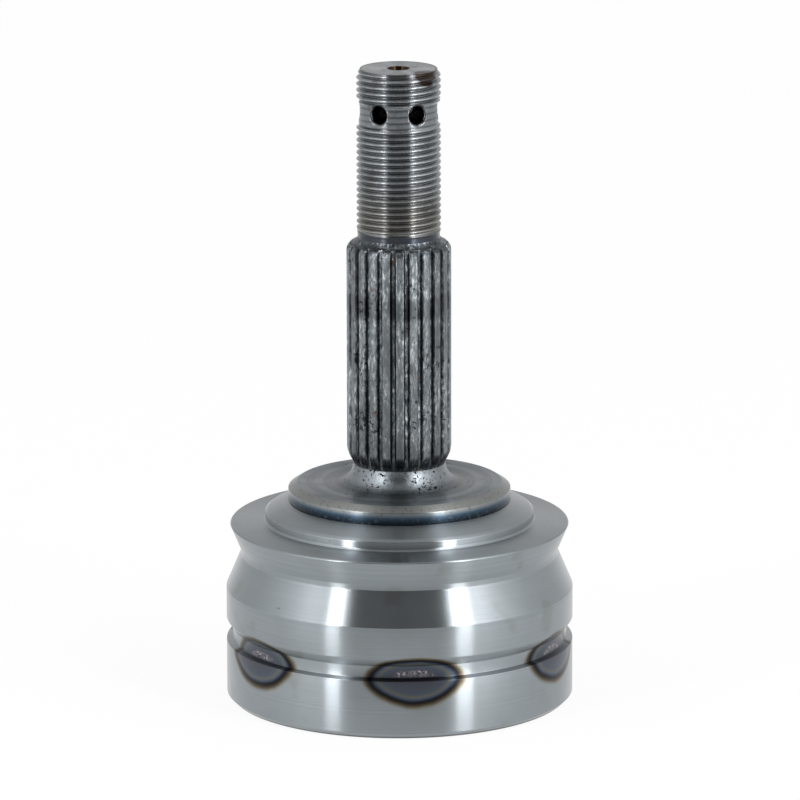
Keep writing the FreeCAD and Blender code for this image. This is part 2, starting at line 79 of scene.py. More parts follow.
BELL_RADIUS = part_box("bell_housing")[1].x / MM
BELL_TOP = node_heights("bell_housing")[1]
NECK_TOP = node_heights("stub_axle_flange")[1]
SPLINE_TOP = node_heights("stub_axle_spline")[1]
AXLE_TOP = node_heights("stub_axle_thread")[1]
HUB_FACE = mounts["hub_face"]["pos_m"][2] / MM
JOURNAL_RADIUS = mount_radius("seal_journal")
SPLINE_RADIUS = mount_radius("hub_spline")
THREAD_RADIUS = mount_radius("hub_nut_thread")
JOINT_CENTRE = frame["joints"][0]["pos_m"][2] / MM
BALL_RADIUS = (node_heights("ball_1")[1] - node_heights("ball_1")[0]) / 2
TRACK_COUNT = 6
print("bell radius %.1f, bell top %.1f, axle top %.1f" % (BELL_RADIUS, BELL_TOP, AXLE_TOP))

# %% [markdown]
# Nearly everything on this joint came off a lathe, so the main helper is a lathe of our own: a
# half section, drawn as corners, is spun round Z. A real turned corner is never knife sharp, and
# a sharp one would show no highlight. `soften` therefore trades each corner for a small arc. It
# leaves alone the corners that are nearly straight, and never eats half of a short edge.

# %% Helpers for turned outlines
NEARLY_STRAIGHT = math.radians(8)
LONGEST_CUT = 0.45
LATHE_MERGE = 0.0005
SHARP_ANGLE = 32


def soften(corners, radius, segments=3):
    """Corners (r, z) of an open outline, each inner corner traded for a small arc."""
    points = [corners[0]]
    for before, corner, after in zip(corners, corners[1:], corners[2:]):
        here = Vector(corner)
        back = Vector(before) - here
        ahead = Vector(after) - here
        turn = back.angle(ahead)
        if math.pi - turn < NEARLY_STRAIGHT:
            points.append(corner)
            continue
        longest = LONGEST_CUT * min(back.length, ahead.length)
        cut = min(radius / math.tan(turn / 2), longest)
        start = here + back.normalized() * cut
        finish = here + ahead.normalized() * cut
        for step in range(segments + 1):
            share = step / segments
            first = start.lerp(here, share)
            second = here.lerp(finish, share)
            points.append(tuple(first.lerp(second, share)))
    points.append(corners[-1])
    return points


def arc(centre, radius, start, finish, segments):
    """Points on a circle in the (r, z) plane, angles in degrees from the radius."""
    points = []
    for step in range(segments + 1):
        angle = math.radians(start + (finish - start) * step / segments)
        x = centre[0] + radius * math.cos(angle)
        points.append((x, centre[1] + radius * math.sin(angle)))
    return points


def spin_section(mesh, points, steps, climb=0.0):
    """Spins an outline (r, z) once round Z; it may climb a little at every step."""
    chain = [mesh.verts.new((r * MM, 0, z * MM)) for r, z in points]
    links = [mesh.edges.new(pair) for pair in zip(chain, chain[1:])]
    bmesh.ops.spin(
        mesh,
        geom=chain + links,
        cent=(0, 0, 0),
        axis=(0, 0, 1),
        dvec=(0, 0, climb * MM),
        angle=math.tau,
        steps=steps,
        use_merge=not climb,
    )


def lathe(points, steps):
    """A closed turned solid: its outline runs from axis to axis."""
    mesh = bmesh.new()
    spin_section(mesh, points, steps)
    bmesh.ops.remove_doubles(mesh, verts=mesh.verts, dist=LATHE_MERGE * MM)
    bmesh.ops.recalc_face_normals(mesh, faces=mesh.faces)
    return mesh


def shade(data, sharp):
    """Smooth shading, except where faces meet at more than `sharp` degrees."""
    data.polygons.foreach_set("use_smooth", [True] * len(data.polygons))
    data.set_sharp_from_angle(angle=math.radians(sharp))


def finish_piece(name, mesh, sharp=SHARP_ANGLE):
    """Makes an object of a bmesh, at the origin and smoothly shaded."""
    data = bpy.data.meshes.new(name)
    mesh.to_mesh(data)
    mesh.free()
    shade(data, sharp)
    piece = bpy.data.objects.new(name, data)
    bpy.context.scene.collection.objects.link(piece)
    return piece


def cut_away(piece, cutter, sharp=SHARP_ANGLE):
    """Cuts a closed cutter mesh out of a piece, once and for all, and throws the cutter away."""
    tool = finish_piece("cutter", cutter)
    modifier = piece.modifiers.new("cut", "BOOLEAN")
    modifier.operation = "DIFFERENCE"
    modifier.solver = "EXACT"
    modifier.object = tool
    graph = bpy.context.evaluated_depsgraph_get()
    result = bpy.data.meshes.new_from_object(piece.evaluated_get(graph))
    piece.modifiers.clear()
    old = piece.data
    piece.data = result
    bpy.data.meshes.remove(old)
    bpy.data.objects.remove(tool)
    shade(result, sharp)


def settle(piece, body, slot, *nodes):
    """Rides the piece on its body and hides the CAD nodes it stands for; the slot is not used."""
    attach(piece, body)
    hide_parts(*nodes)
    print("%s: %d faces, rides on %s" % (piece.name, len(piece.data.polygons), body))


# %% [markdown]
# ## The bell
# The bell is forged, then turned outside: two lands either side of the groove that takes the
# boot's bead, a taper to a waist, a flared shoulder and a step. One outline from the axis, round
# the outside, through the mouth and back to the axis makes the whole cup. Its inside is the ground
# sphere that guides the cage.

# %% The bell's outline
TURNING_STEPS = 240
EDGE_BREAK = 0.18
LAND_SPHERE = 30.5
CAVITY_FLOOR = 43.5
MOUTH_CONE_TOP = 8.0
MOUTH_CONE_RADIUS = 36.0
MOUTH_CHAMFER = 1.3
GROOVE_DEPTH = 1.5
GROOVE_FOOT = 14.1
GROOVE_FLOOR_LOW = 14.6
GROOVE_FLOOR_HIGH = 17.4
GROOVE_HEAD = 19.5
TAPER_FOOT = 27.0
WAIST_RADIUS = 37.9
WAIST_LOW = 35.2
WAIST_HIGH = 36.4
SHOULDER_RADIUS = 40.4
SHOULDER_EDGE = 42.3
STEP_RADIUS = 32.0
STEP_LOW = 43.7
STEP_HIGH = 45.3

floor_angle = math.degrees(math.asin((CAVITY_FLOOR - JOINT_CENTRE) / LAND_SPHERE))
lip_angle = math.degrees(math.asin((MOUTH_CONE_TOP - JOINT_CENTRE) / LAND_SPHERE))
outside = [
    (BELL_RADIUS - MOUTH_CHAMFER, 0.0),
    (BELL_RADIUS, MOUTH_CHAMFER),
    (BELL_RADIUS, GROOVE_FOOT),
    (BELL_RADIUS - GROOVE_DEPTH, GROOVE_FLOOR_LOW),
    (BELL_RADIUS - GROOVE_DEPTH, GROOVE_FLOOR_HIGH),
    (BELL_RADIUS, GROOVE_HEAD),
    (BELL_RADIUS, TAPER_FOOT),
    (WAIST_RADIUS, WAIST_LOW),
    (WAIST_RADIUS, WAIST_HIGH),
    (SHOULDER_RADIUS, SHOULDER_EDGE),
    (SHOULDER_RADIUS - 0.3, SHOULDER_EDGE + 0.3),
    (STEP_RADIUS + 0.4, STEP_LOW - 0.5),
    (STEP_RADIUS, STEP_LOW),
    (STEP_RADIUS, STEP_HIGH),
    (STEP_RADIUS - 0.8, STEP_HIGH + 0.6),
    (JOURNAL_RADIUS, BELL_TOP),
    (0.0, BELL_TOP),
]
ground_sphere = arc((0, JOINT_CENTRE), LAND_SPHERE, floor_angle, lip_angle, 24)
inside = [(0.0, CAVITY_FLOOR)] + ground_sphere
bell_outline = inside + soften([(MOUTH_CONE_RADIUS, 0.0)] + outside, EDGE_BREAK)
print("bell outline: %d points" % len(bell_outline))

# %% [markdown]
# Six ball tracks run up the inside of the bell. On the machine each is ground by a ball-shaped
# wheel that swings about a point a little nearer the mouth than the joint's own centre. The
# cutter here is made in the same way: a circle as large as the ball, spun through ninety degrees
# about that point, and copied six times round the axis.

# %% Bell with its ball tracks
TRACK_OFFSET = 3.5
BALL_PITCH = 27.5
TRACK_GAP = 0.06
TRACK_DOWN = 40
TRACK_UP = 50


def only_verts(items):
    """The vertices among the items that a bmesh operator gives back."""
    return [item for item in items if isinstance(item, bmesh.types.BMVert)]


def close_up(mesh):
    """Fills every hole of a mesh and turns its faces outward."""
    bmesh.ops.holes_fill(mesh, edges=[edge for edge in mesh.edges if edge.is_boundary])
    bmesh.ops.recalc_face_normals(mesh, faces=mesh.faces)


def track_cutter():
    """Six bent rods with closed ends, one in each track."""
    swing = math.hypot(BALL_PITCH, TRACK_OFFSET) * MM
    centre = Vector((0, 0, (JOINT_CENTRE - TRACK_OFFSET) * MM))
    mesh = bmesh.new()
    ring = bmesh.ops.create_circle(
        mesh, cap_ends=False, segments=48, radius=(BALL_RADIUS + TRACK_GAP) * MM
    )
    place = Matrix.Translation(centre + Vector((0, -swing, 0)))
    bmesh.ops.transform(mesh, matrix=place, verts=ring["verts"])
    start = Matrix.Rotation(math.radians(TRACK_DOWN), 3, "X")
    bmesh.ops.rotate(mesh, cent=centre, matrix=start, verts=mesh.verts)
    bmesh.ops.spin(
        mesh,
        geom=list(mesh.edges) + list(mesh.verts),
        cent=centre,
        axis=(1, 0, 0),
        angle=-math.radians(TRACK_DOWN + TRACK_UP),
        steps=36,
        use_merge=False,
    )
    close_up(mesh)
    first = list(mesh.verts) + list(mesh.edges) + list(mesh.faces)
    for number in range(1, TRACK_COUNT):
        copy = bmesh.ops.duplicate(mesh, geom=first)["geom"]
        turn = Matrix.Rotation(math.tau * number / TRACK_COUNT, 3, "Z")
        bmesh.ops.rotate(mesh, cent=(0, 0, 0), matrix=turn, verts=only_verts(copy))
    return mesh


bell = finish_piece("turned_bell", lathe(bell_outline, TURNING_STEPS))
cut_away(bell, track_cutter())
settle(bell, "outer_race", "turned_steel", "bell_housing")

# %% [markdown]
# ## The flange
# Above the bell sits a short flange: the seal runs on its rim, and its flat top clamps the wheel
# bearing. A deep hollow leads up to the neck, because a sharp corner there would crack. The
# hollow is a quarter circle in the outline.

# %% Flange with the seal journal
JOURNAL_TOP = 51.0
CHAMFER_WIDTH = 2.1
RIM_BREAK = 0.3
NECK_RADIUS = 11.0
NECK_HOLLOW = NECK_TOP - HUB_FACE

rim = [
    (0.0, BELL_TOP),
    (JOURNAL_RADIUS, BELL_TOP),
    (JOURNAL_RADIUS, JOURNAL_TOP),
    (JOURNAL_RADIUS - CHAMFER_WIDTH, HUB_FACE),
    (NECK_RADIUS + NECK_HOLLOW, HUB_FACE),
]
hollow = arc((NECK_RADIUS + NECK_HOLLOW, NECK_TOP), NECK_HOLLOW, 270, 180, 12)
flange_outline = soften(rim, RIM_BREAK) + hollow[1:] + [(0.0, NECK_TOP)]
flange = finish_piece("axle_flange", lathe(flange_outline, TURNING_STEPS))
settle(flange, "outer_race", "hardened_steel", "stub_axle_flange")

# %% [markdown]
# ## The hub spline
# A hob cuts twenty-three teeth along the axle, and the lathe's chamfers at both ends leave each
# gap running out on a cone. The piece starts as one circle with a few vertices to each tooth.
# They are pulled to the tooth's outline, and the ring is extruded up the axle. On every level a
# vertex stays inside both the tooth's outline and the turned envelope, as on the real blank. Half
# a tooth is written, from the middle of a gap, as shares of the pitch and of the tooth's height.

# %% Hub spline
TOOTH_COUNT = 23
SPLINE_SHARP = 50
GAP_TURN = 3.9
ROOT_RADIUS = 11.2
FULL_TEETH_LOW = 61.0
FULL_TEETH_MIDDLE = 84.0
FULL_TEETH_HIGH = 108.8
TOP_ROUNDING = 2.2
UNDERCUT_RADIUS = 9.75
HALF_TOOTH = [
    (0.000, 0.00),
    (0.060, 0.00),
    (0.120, 0.08),
    (0.165, 0.45),
    (0.210, 0.85),
    (0.245, 0.97),
    (0.300, 1.00),
    (0.400, 1.00),
    (0.500, 1.00),
]
TOOTH_FORM = [(-share, rise) for share, rise in reversed(HALF_TOOTH[1:])] + HALF_TOOTH[:-1]
ENVELOPE = (
    [(NECK_RADIUS, NECK_TOP), (NECK_RADIUS, NECK_TOP + 0.5)]
    + [(11.5, 58.4), (11.95, 59.3), (12.25, 60.1)]
    + [(SPLINE_RADIUS, FULL_TEETH_LOW), (SPLINE_RADIUS, FULL_TEETH_MIDDLE)]
    + [(SPLINE_RADIUS, FULL_TEETH_HIGH)]
    + arc((SPLINE_RADIUS - TOP_ROUNDING, FULL_TEETH_HIGH), TOP_ROUNDING, 12, 74, 6)
    + [(10.35, 111.2), (9.95, 111.7), (UNDERCUT_RADIUS, SPLINE_TOP)]
)


def tooth_ring(turned_radius):
    """(radius, angle) of every vertex of one level of the spline."""
    ring = []
    for tooth in range(TOOTH_COUNT):
        for share, height in TOOTH_FORM:
            angle = math.radians(GAP_TURN - 90) + math.tau * (tooth + share) / TOOTH_COUNT
            radius = ROOT_RADIUS + (SPLINE_RADIUS - ROOT_RADIUS) * height
            ring.append((min(radius, turned_radius), angle))
    return ring


def place_ring(verts, turned_radius, height):
    """Moves the vertices of one level to their places."""
    for vert, (radius, angle) in zip(verts, tooth_ring(turned_radius)):
        x = radius * math.cos(angle)
        vert.co = Vector((x, radius * math.sin(angle), height)) * MM


def vert_above(vert, above):
    """The vertex that was extruded from this one."""
    neighbours = (edge.other_vert(vert) for edge in vert.link_edges)
    return next(other for other in neighbours if other in above)


def spline_mesh():
    """The toothed length of the axle, extruded ring by ring and closed at both ends."""
    mesh = bmesh.new()
    count = TOOTH_COUNT * len(TOOTH_FORM)
    verts = bmesh.ops.create_circle(mesh, segments=count, radius=SPLINE_RADIUS * MM)["verts"]
    edges = list(mesh.edges)
    place_ring(verts, *ENVELOPE[0])
    for radius, height in ENVELOPE[1:]:
        grown = bmesh.ops.extrude_edge_only(mesh, edges=edges)["geom"]
        above = set(only_verts(grown))
        verts = [vert_above(vert, above) for vert in verts]
        edges = [edge for edge in mesh.edges if above.issuperset(edge.verts)]
        place_ring(verts, radius, height)
    close_up(mesh)
    return mesh


spline = finish_piece("hub_spline_teeth", spline_mesh(), sharp=SPLINE_SHARP)
settle(spline, "outer_race", "hardened_steel", "stub_axle_spline")

# %% [markdown]
# ## The hub-nut thread
# The thread is M20 x 1.5. A screw thread is a profile that turns and climbs together, which is
# what a spin with a step along the axis does. A chain of all the ridges makes one turn and climbs
# one pitch, so it lands on itself one ridge higher, and the doubles merge. The ends are sliced
# flat, and the relief band, the end chamfer and the undercut are the lathe's envelope again. The
# lowest turn fades out, and the band keeps a trace of the turns that it was cut through.

# %% Threaded end
PITCH = 1.5
THREAD_ROOT = 9.08
THREAD_STEPS = 120
THREAD_MERGE = 0.002
THREAD_SHARP = 60
SPARE_TURNS = 3
RIDGE = [(0.00, 0.00), (0.10, 0.06), (0.22, 0.40), (0.35, 0.78), (0.43, 0.95), (0.50, 1.00)]
RIDGE += [(1.0 - share, rise) for share, rise in reversed(RIDGE[1:-1])]
UNDERCUT_TOP = 113.24
BAND_BOTTOM = 139.14
BAND_TOP = 144.64
BAND_RADIUS = 9.4
BAND_TRACE = 0.06
CHAMFER_BOTTOM = 150.84
TIP_RADIUS = 9.1
THREAD_ENVELOPE = [
    (SPLINE_TOP - PITCH, UNDERCUT_RADIUS),
    (UNDERCUT_TOP - 0.1, UNDERCUT_RADIUS),
    (UNDERCUT_TOP + 0.5, THREAD_RADIUS),
    (BAND_BOTTOM - 0.35, THREAD_RADIUS),
    (BAND_BOTTOM + 0.25, BAND_RADIUS),
    (BAND_TOP - 0.25, BAND_RADIUS),
    (BAND_TOP + 0.35, THREAD_RADIUS),
    (CHAMFER_BOTTOM, THREAD_RADIUS),
    (AXLE_TOP, TIP_RADIUS),
    (AXLE_TOP + PITCH, TIP_RADIUS),
]


def between(table, place):
    """Straight-line value of a table of (place, value) rows."""
    for (low, first), (high, second) in zip(table, table[1:]):
        if place <= high:
            share = max(0.0, (place - low) / (high - low))
            return first + (second - first) * share
    return table[-1][1]


def turned_down(radius, height):
    """Radius of a point of the raw thread once the lathe has been over it."""
    fade = min(1.0, max(0.0, (height - UNDERCUT_TOP) / PITCH))
    faded = THREAD_RADIUS - (THREAD_RADIUS - radius) * fade
    allowed = min(faded, between(THREAD_ENVELOPE, height))
    if BAND_BOTTOM < height < BAND_TOP:
        allowed = max(allowed, BAND_RADIUS - BAND_TRACE)
    return allowed


def thread_mesh():
    """The threaded length of the axle, with flat ends."""
    mesh = bmesh.new()
    turns = math.ceil((AXLE_TOP - SPLINE_TOP) / PITCH) + SPARE_TURNS
    base = SPLINE_TOP - 1.5 * PITCH
    points = []
    for turn in range(turns):
        for share, height in RIDGE:
            radius = THREAD_ROOT + (THREAD_RADIUS - THREAD_ROOT) * height
            points.append((radius, base + (turn + share) * PITCH))
    spin_section(mesh, points, THREAD_STEPS, climb=PITCH / THREAD_STEPS)
    bmesh.ops.remove_doubles(mesh, verts=mesh.verts, dist=THREAD_MERGE * MM)
    for vert in mesh.verts:
        radius = math.hypot(vert.co.x, vert.co.y) / MM
        share = turned_down(radius, vert.co.z / MM) / radius
        vert.co.x *= share
        vert.co.y *= share
    for height, outward in ((SPLINE_TOP, -1), (AXLE_TOP, 1)):
        everything = list(mesh.verts) + list(mesh.edges) + list(mesh.faces)
        bmesh.ops.bisect_plane(
            mesh,
            geom=everything,
            plane_co=(0, 0, height * MM),
            plane_no=(0, 0, outward),
            clear_outer=True,
        )
    close_up(mesh)
    return mesh


thread = finish_piece("hub_nut_thread_turns", thread_mesh(), sharp=THREAD_SHARP)
print("thread turns: %d faces" % len(thread.data.polygons))

# %% [markdown]
# Three cotter holes run right through the relief band, sixty degrees apart, each with a flared
# mouth. The lathe's own centre drilling is a small bore with a cone above it. All four are cut
# out of the finished turns.

# %% Cotter holes and centre drilling
COTTER_HOLES = 3
COTTER_SPACING = 60
ROD_END = 10.6
FLARE = [(mount_radius("cotter_hole"), 8.7), (2.7, 9.4), (3.6, ROD_END)]
DRILL_RADIUS = 1.0
DRILL_DEPTH = 4.9
CONE_RADIUS = 2.65
CONE_DEPTH = 2.9


def cotter_cutter(number):
    """A rod right through the axle, flared at both ends."""
    mirrored = [(r, -z) for r, z in reversed(FLARE)]
    mesh = lathe([(0.0, -ROD_END)] + mirrored + FLARE + [(0.0, ROD_END)], 32)
    axis = Vector(mounts["cotter_hole"]["axis"])
    lay_down = Vector((0, 0, 1)).rotation_difference(axis).to_matrix()
    swing = Matrix.Rotation(math.radians(COTTER_SPACING) * number, 3, "Z")
    bmesh.ops.rotate(mesh, cent=(0, 0, 0), matrix=swing @ lay_down, verts=mesh.verts)
    height = mounts["cotter_hole"]["pos_m"][2]
    bmesh.ops.translate(mesh, vec=(0, 0, height), verts=mesh.verts)
    return mesh


for number in range(COTTER_HOLES):
    cut_away(thread, cotter_cutter(number), sharp=THREAD_SHARP)
centre_drill = [
    (0.0, AXLE_TOP - DRILL_DEPTH),
    (DRILL_RADIUS, AXLE_TOP - DRILL_DEPTH),
    (DRILL_RADIUS, AXLE_TOP - CONE_DEPTH),
    (CONE_RADIUS, AXLE_TOP),
    (CONE_RADIUS + 0.55, AXLE_TOP + 1.0),
    (0.0, AXLE_TOP + 1.0),
]
cut_away(thread, lathe(centre_drill, 48), sharp=THREAD_SHARP)
settle(thread, "outer_race", "hardened_steel", "stub_axle_thread")

# %% [markdown]
# ## Materials
# One small function adds a shader node with its settings and links, and the rest of the notebook
# builds every finish with it. Colours are written as the usual sRGB hex and turned to the linear
# values that the shader works with. Patterns take their scale from a real grain in millimetres.
#
# Sockets go by name or by place. A Map Range takes the value, the two ends it comes from and the
# two ends it goes to. A Mix node keeps its colours behind its numbers, so their places are named.

# %% Helpers for materials
FIRST_COLOUR, SECOND_COLOUR, MIXED_COLOUR = 6, 7, 2
SMOOTH = {"interpolation_type": "SMOOTHSTEP"}


def colour(hexadecimal):
    """sRGB hex to linear values with an alpha of one."""
    channels = [int(hexadecimal[i : i + 2], 16) / 255 for i in (0, 2, 4)]
    linear = [c / 12.92 if c <= 0.04045 else ((c + 0.055) / 1.055) ** 2.4 for c in channels]
    return (*linear, 1.0)


def new_material(name):
    """An empty material, its node tree and its shader."""
    material = bpy.data.materials.new(name)
    material.use_nodes = True
    return material, material.node_tree, material.node_tree.nodes["Principled BSDF"]


def add(tree, kind, inputs, output=0, **settings):
    """Adds one shader node with its settings and links, and gives back one of its outputs."""
    node = tree.nodes.new("ShaderNode" + kind)
    for key, value in settings.items():
        setattr(node, key, value)
    for socket, value in inputs.items():
        if isinstance(value, bpy.types.NodeSocket):
            tree.links.new(value, node.inputs[socket])
        else:
            node.inputs[socket].default_value = value
    return node.outputs[output]


def per_mm(millimetres):
    """A texture's scale for a pattern whose grain is about that many millimetres."""
    return 1000.0 / millimetres


def set_stops(ramp, stops):
    """Gives a colour ramp its stops, in rising order."""
    elements = ramp.node.color_ramp.elements
    while len(elements) < len(stops):
        elements.new(0.5)
    for element, (position, tone) in zip(elements, stops):
        element.position = position
        element.color = tone


def dress(piece, material):
    """Gives a piece its one material."""
    piece.data.materials.clear()
    piece.data.materials.append(material)
    print("%s: %s" % (piece.name, material.name))


def wash(tree, tone, hexadecimal, field, low, high, most=1.0):
    """Lays a colour over a tone: not at all where the field is at low, and most at high."""
    limits = {0: field, 1: low, 2: high, 3: 0.0, 4: most}
    share = add(tree, "MapRange", limits, **SMOOTH)
    layers = {0: share, FIRST_COLOUR: tone, SECOND_COLOUR: colour(hexadecimal)}
    return add(tree, "Mix", layers, MIXED_COLOUR, data_type="RGBA")


def window(tree, field, low, high, edge):
    """One where a field lies between low and high, with soft edges."""
    limits = {0: field, 1: low, 2: low + edge, 3: 0.0, 4: 1.0}
    rise = add(tree, "MapRange", limits, **SMOOTH)
    limits = {0: field, 1: high - edge, 2: high, 3: 1.0, 4: 0.0}
    fall = add(tree, "MapRange", limits, **SMOOTH)
    return add(tree, "Math", {0: rise, 1: fall}, operation="MULTIPLY")


# %% [markdown]
# Everything on the axle and the bell was made on a lathe, so patterns follow the axis: they need
# the radius and the height of a place, and the direction round the axis. A reflection on turned
# metal smears across the tool's lines: the tangent runs round the axis, with a quarter turn.

# %% Helpers for turned surfaces
QUARTER_TURN = 0.25
PATCH_GRAINS = 8


def look_from(turn, distance, height):
    """A place at a distance from the axis, turned from -Y towards +X."""
    angle = math.radians(turn)
    return Vector((distance * math.sin(angle), -distance * math.cos(angle), height))


def radius_and_height(tree, place):
    """Distance of a place from the axis and its height above the mouth, as two sockets."""
    x, y, z = add(tree, "SeparateXYZ", {0: place}).node.outputs
    flat = add(tree, "CombineXYZ", {0: x, 1: y})
    return add(tree, "VectorMath", {0: flat}, "Value", operation="LENGTH"), z


def rings(tree, radius, height, millimetres):
    """A field that is the same all the way round the axis, as turning lines are."""
    section = add(tree, "CombineXYZ", {0: radius, 1: height})
    return add(tree, "TexNoise", {"Vector": section, "Scale": per_mm(millimetres), "Detail": 3.0})


def turned_metal(name, anisotropy):
    """A metal whose reflections are narrow round the axis and long up and down it."""
    material, tree, shader = new_material(name)
    place = add(tree, "TexCoord", {}, "Object")
    across = add(tree, "VectorMath", {0: (0, 0, 1), 1: place}, operation="CROSS_PRODUCT")
    spaces = {"vector_type": "NORMAL", "convert_from": "OBJECT", "convert_to": "WORLD"}
    turned = add(tree, "VectorTransform", {0: across}, **spaces)
    tangent = add(tree, "VectorMath", {0: turned}, operation="NORMALIZE")
    tree.links.new(tangent, shader.inputs["Tangent"])
    shader.inputs["Metallic"].default_value = 1.0
    shader.inputs["Anisotropic"].default_value = anisotropy
    shader.inputs["Anisotropic Rotation"].default_value = QUARTER_TURN
    return material, tree, shader, place


def pits(tree, place, millimetres, low, high):
    """Small ragged dots that come in patches, each with a soft edge."""
    ragged = {"Vector": place, "Scale": per_mm(millimetres), "Detail": 3.0, "Roughness": 0.6}
    grain = add(tree, "TexNoise", ragged)
    patch = {"Vector": place, "Scale": per_mm(millimetres * PATCH_GRAINS)}
    patchy = add(tree, "TexNoise", patch)
    both = add(tree, "Math", {0: patchy, 1: 0.5, 2: grain}, operation="MULTIPLY_ADD")
    limits = {0: both, 1: low, 2: high, 3: 0.0, 4: 1.0}
    return add(tree, "MapRange", limits, **SMOOTH)


# %% [markdown]
# ## Temper colours
# Each ball track is hardened by a coil that heats it from inside, and the heat comes through the
# wall. Outside it leaves a lens of temper colours on the edge of the boot groove: straw at the
# rim, then nearly black, slate blue, olive, grey-blue and a purple-grey heart. The upper edge is
# half an ellipse and the lower edge nearly a parabola, so the two halves take different powers of
# the height. The field is zero in the heart and one on the dark rim, and it is far past the rim
# on the inside of the wall, where the tracks are ground bright.

# %% Temper colours over the tracks
LENS_HALF_WIDTH = 10.7
LENS_RISE = 4.6
LENS_RISE_POWER = 1.9
LENS_FALL = 5.4
LENS_FALL_POWER = 1.4
LENS_HEIGHT = 14.4
LENS_WOBBLE = 0.2
INNER_WALL = 37.5
OUTER_WALL = 38.5
PAST_RIM = 3.0
TEMPER = [
    (0.00, "4e5059"),
    (0.30, "50545d"),
    (0.44, "4f5661"),
    (0.54, "505a62"),
    (0.66, "64625b"),
    (0.76, "525c66"),
    (0.83, "434c59"),
    (0.91, "2c313b"),
    (0.98, "202126"),
    (1.07, "2b2823"),
    (1.18, "4a4236"),
    (1.36, "6e6858"),
    (1.65, "868a89"),
]


def temper_lens(tree, place):
    """Distance from the heart of the nearest mark, as a share of the way to its rim."""
    radius, height = radius_and_height(tree, place)
    x, y, _ = add(tree, "SeparateXYZ", {0: place}).node.outputs
    angle = add(tree, "Math", {0: y, 1: x}, operation="ARCTAN2")
    turns = {0: angle, 1: TRACK_COUNT / math.tau, 2: TRACK_COUNT / 4}
    count = add(tree, "Math", turns, operation="MULTIPLY_ADD")
    nearest = add(tree, "Math", {0: count}, operation="ROUND")
    offset = add(tree, "Math", {0: count, 1: nearest}, operation="SUBTRACT")
    widths = BELL_RADIUS * math.tau / TRACK_COUNT / LENS_HALF_WIDTH
    sideways = add(tree, "Math", {0: offset, 1: widths}, operation="MULTIPLY")
    lens = add(tree, "Math", {0: sideways, 1: sideways}, operation="MULTIPLY")
    level = add(tree, "Math", {0: height, 1: LENS_HEIGHT * MM}, operation="SUBTRACT")
    for reach, power in ((LENS_RISE, LENS_RISE_POWER), (-LENS_FALL, LENS_FALL_POWER)):
        share = add(tree, "Math", {0: level, 1: reach * MM}, operation="DIVIDE")
        share = add(tree, "Math", {0: share, 1: 0.0}, operation="MAXIMUM")
        share = add(tree, "Math", {0: share, 1: power}, operation="POWER")
        lens = add(tree, "Math", {0: lens, 1: share}, operation="ADD")
    cloud = add(tree, "TexNoise", {"Vector": place, "Scale": per_mm(5), "Detail": 2.0})
    shift = {0: cloud, 1: LENS_WOBBLE, 2: -LENS_WOBBLE / 2}
    wobble = add(tree, "Math", shift, operation="MULTIPLY_ADD")
    lens = add(tree, "Math", {0: lens, 1: wobble}, operation="ADD")
    limits = {0: radius, 1: INNER_WALL * MM, 2: OUTER_WALL * MM, 3: PAST_RIM, 4: 0.0}
    inside = add(tree, "MapRange", limits, **SMOOTH)
    return add(tree, "Math", {0: lens, 1: inside}, operation="ADD")


# %% [markdown]
# ## Turned steel
# The bell is plain carbon steel straight from the lathe, under a film of oil: an even light grey
# with faint lines round it, a few dull clouds and yellowed patches of oil. Painted shade darkens
# the lowest millimetre, where the bell meets the floor, and a few dark specks are scattered about.

# %% Turned steel
# Painted shade on the bell's lowest millimetre, where it meets the floor; heights in millimetres.
FOOT_SHADE_TOP = 0.7
FOOT_SHADE_FULL = 0.2
material, tree, shader, place = turned_metal("carbon_steel_turned_and_oiled", anisotropy=1.0)
shader.inputs["Roughness"].default_value = 0.26
radius, height = radius_and_height(tree, place)
lines = rings(tree, radius, height, 0.35)
clouds = add(tree, "TexNoise", {"Vector": place, "Scale": per_mm(14), "Detail": 2.0})
tone = wash(tree, colour("8b9296"), "92989c", lines, 0.25, 0.75)
tone = wash(tree, tone, "858a8c", clouds, 0.4, 0.7, 0.5)
oil = add(tree, "TexNoise", {"Vector": place, "Scale": per_mm(9), "Detail": 2.0})
tone = wash(tree, tone, "77776f", oil, 0.6, 0.74, 0.3)
# Painted shade along the foot of the bell, where it meets the floor.
tone = wash(tree, tone, "3a3a38", height, FOOT_SHADE_TOP * MM, FOOT_SHADE_FULL * MM, 0.8)
specks = pits(tree, place, 1.0, 1.03, 1.06)
tone = wash(tree, tone, "2c2e30", specks, 0.0, 1.0, 0.8)
print("turned steel: plain tone")

# %% [markdown]
# The heat marks lie over the oiled steel and fade out past their dark rim. Inside each mark, a dark
# line of painted shade lies in the foot of the boot groove.

# %% Heat marks on the bell
LAST_STOP = TEMPER[-1][0]
FLOOR_START = GROOVE_FLOOR_LOW + 0.1
lens = temper_lens(tree, place)
scaled = add(tree, "Math", {0: lens, 1: LAST_STOP}, operation="DIVIDE")
heat = add(tree, "ValToRGB", {0: scaled})
set_stops(heat, [(at / LAST_STOP, colour(tint)) for at, tint in TEMPER])
limits = {0: lens, 1: 1.2, 2: 1.6, 3: 1.0, 4: 0.0}
tinted = add(tree, "MapRange", limits, **SMOOTH)
layers = {0: tinted, FIRST_COLOUR: tone, SECOND_COLOUR: heat}
tone = add(tree, "Mix", layers, MIXED_COLOUR, data_type="RGBA")

